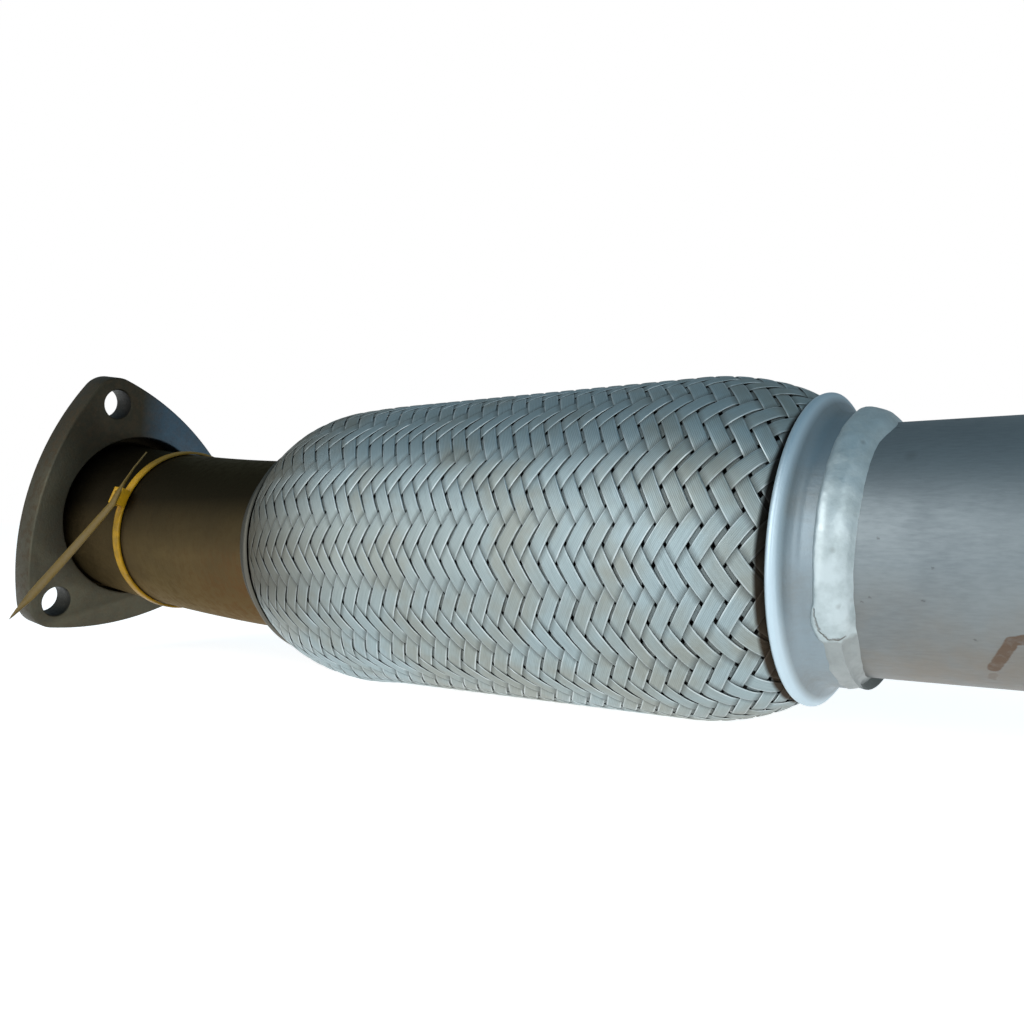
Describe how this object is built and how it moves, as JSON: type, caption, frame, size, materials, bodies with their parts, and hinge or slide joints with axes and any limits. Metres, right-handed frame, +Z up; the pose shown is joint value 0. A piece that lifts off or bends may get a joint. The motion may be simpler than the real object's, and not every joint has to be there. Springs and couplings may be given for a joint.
{
  "type": "flexible exhaust pipe",
  "caption": "Exhaust pipe section with a braided flex joint, a loose bolted flange on its bent inlet pipe, a plain outlet pipe end and a cable tie.",
  "frame": {"origin": "middle of the bounding box's lowest side", "axes": "+X along the flex joint towards the outlet pipe's open end, +Z up as in the picture, +Y away from the camera's side"},
  "size_m": [0.4542, 0.1296, 0.1314],
  "materials": {
    "flange_steel": "dark oxidised steel with a faint sheen",
    "inlet_steel": "heat-stained brown steel",
    "collar_steel": "satin stainless steel",
    "weld_metal": "bright uneven weld metal",
    "braid_steel": "woven stainless wire with dark gaps",
    "bellows_steel": "thin bright stainless steel",
    "pipe_steel": "satin grey steel with fine specks",
    "yellow_nylon": "yellow nylon"
  },
  "bodies": {
    "pipe_assembly": {"inlet_pipe": "inlet_steel", "inlet_collar": "collar_steel", "inlet_weld_bead": "weld_metal", "braid_sleeve": "braid_steel", "bellows": "bellows_steel", "inner_liner": "bellows_steel", "outlet_collar": "collar_steel", "outlet_weld_bead": "weld_metal", "outlet_pipe": "pipe_steel", "cable_tie": "yellow_nylon"},
    "flange": {"inlet_flange": "flange_steel"}
  },
  "joints": [
    {"name": "flange_swivel", "type": "hinge", "parent": "pipe_assembly", "child": "flange", "pos_m": [-0.21079, -0.0013, 0.06591], "axis": [-0.9879, 0, 0.1551], "continuous": true}
  ]
}
